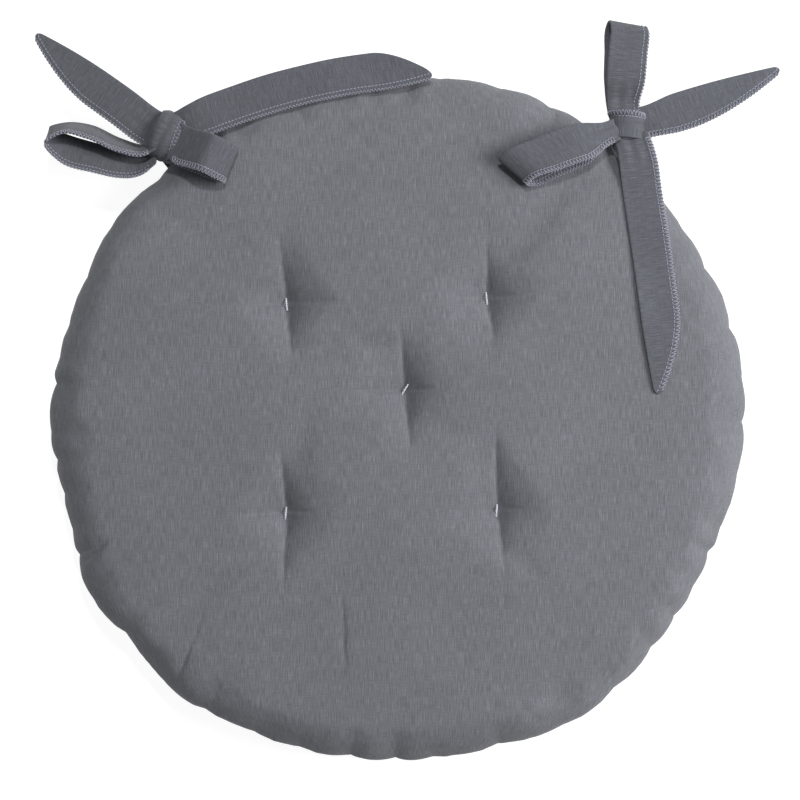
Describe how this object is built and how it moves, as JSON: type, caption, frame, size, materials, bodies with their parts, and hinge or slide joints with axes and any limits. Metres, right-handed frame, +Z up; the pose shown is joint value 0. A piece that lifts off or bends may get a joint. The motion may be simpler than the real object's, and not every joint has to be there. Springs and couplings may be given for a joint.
{
  "type": "chair seat pad",
  "caption": "Round tufted cloth seat pad over a foam disc, with overlocked straps tied in bows at its back edge to hold it to a chair.",
  "frame": {"origin": "middle of the pad's flat underside, where it rests on the chair seat", "axes": "+Z up out of the sitting face, +Y towards the back of the chair, where the ties are, +X to the sitter's right as seen from above with the back at the top"},
  "size_m": [0.4283, 0.4293, 0.0508],
  "materials": {
    "cover_cloth": "matt bluish mid-grey cotton with a fine slub weave",
    "tie_cloth": "matt grey cotton, the same cloth doubled",
    "overlock_thread": "spun polyester thread, light lilac-grey, slight sheen",
    "seam_thread": "spun polyester thread, grey, matt",
    "tuft_thread": "waxed upholstery thread, nearly white",
    "foam": "open-cell foam, pale cream"
  },
  "bodies": {
    "pad": {"top_panel": "cover_cloth", "bottom_panel": "cover_cloth", "rim_seam_thread": "seam_thread", "foam_core": "foam", "tuft_thread_back_left": "tuft_thread", "tuft_thread_back_right": "tuft_thread", "tuft_thread_centre": "tuft_thread", "tuft_thread_front_left": "tuft_thread", "tuft_thread_front_right": "tuft_thread", "left_tie_sewn_end": "tie_cloth", "right_tie_sewn_end": "tie_cloth"},
    "left_bow": {"left_knot": "tie_cloth", "left_stalk": "tie_cloth"},
    "left_outer_tail": {"left_outer_tail": "tie_cloth", "left_outer_tail_overlock": "overlock_thread"},
    "left_inner_tail": {"left_inner_tail": "tie_cloth", "left_inner_tail_overlock": "overlock_thread"},
    "left_outer_loop": {"left_outer_loop": "tie_cloth", "left_outer_loop_overlock": "overlock_thread"},
    "left_inner_loop": {"left_inner_loop": "tie_cloth", "left_inner_loop_overlock": "overlock_thread"},
    "right_bow": {"right_knot": "tie_cloth", "right_stalk": "tie_cloth"},
    "right_outer_tail": {"right_outer_tail": "tie_cloth", "right_outer_tail_overlock": "overlock_thread"},
    "right_inner_tail": {"right_inner_tail": "tie_cloth", "right_inner_tail_overlock": "overlock_thread"},
    "right_outer_loop": {"right_outer_loop": "tie_cloth", "right_outer_loop_overlock": "overlock_thread"},
    "right_inner_loop": {"right_inner_loop": "tie_cloth", "right_inner_loop_overlock": "overlock_thread"}
  },
  "joints": [
    {"name": "left_bow_drop", "type": "hinge", "parent": "pad", "child": "left_bow", "pos_m": [-0.12866, 0.15831, 0.018], "axis": [-0.776, -0.6307, 0], "range_deg": [0, 40]},
    {"name": "left_outer_tail_swing", "type": "hinge", "parent": "left_bow", "child": "left_outer_tail", "pos_m": [-0.14391, 0.16995, 0.033], "axis": [0.5878, 0.809, 0], "range_deg": [-50, 50]},
    {"name": "left_inner_tail_lift", "type": "hinge", "parent": "left_bow", "child": "left_inner_tail", "pos_m": [-0.12474, 0.17154, 0.0376], "axis": [0.2317, -0.9728, 0], "range_deg": [0, 60]},
    {"name": "left_outer_loop_swing", "type": "hinge", "parent": "left_bow", "child": "left_outer_loop", "pos_m": [-0.14627, 0.15986, 0.03], "axis": [-0.0698, 0.9976, 0], "range_deg": [-30, 35]},
    {"name": "left_inner_loop_lift", "type": "hinge", "parent": "left_bow", "child": "left_inner_loop", "pos_m": [-0.1265, 0.15916, 0.0398], "axis": [-0.3746, -0.9272, 0], "range_deg": [0, 45]},
    {"name": "right_bow_drop", "type": "hinge", "parent": "pad", "child": "right_bow", "pos_m": [0.12475, 0.16141, 0.018], "axis": [-0.7912, 0.6115, 0], "range_deg": [0, 40]},
    {"name": "right_outer_tail_swing", "type": "hinge", "parent": "right_bow", "child": "right_outer_tail", "pos_m": [0.14547, 0.17432, 0.033], "axis": [0.2756, -0.9613, 0], "range_deg": [-50, 50]},
    {"name": "right_inner_tail_lift", "type": "hinge", "parent": "right_bow", "child": "right_inner_tail", "pos_m": [0.13635, 0.16159, 0.0376], "axis": [-0.9914, -0.1305, 0], "range_deg": [0, 60]},
    {"name": "right_outer_loop_swing", "type": "hinge", "parent": "right_bow", "child": "right_outer_loop", "pos_m": [0.13029, 0.18194, 0.03], "axis": [0.9962, -0.0872, 0], "range_deg": [-35, 35]},
    {"name": "right_inner_loop_lift", "type": "hinge", "parent": "right_bow", "child": "right_inner_loop", "pos_m": [0.12092, 0.1661, 0.0398], "axis": [-0.3584, 0.9336, 0], "range_deg": [0, 45]}
  ]
}
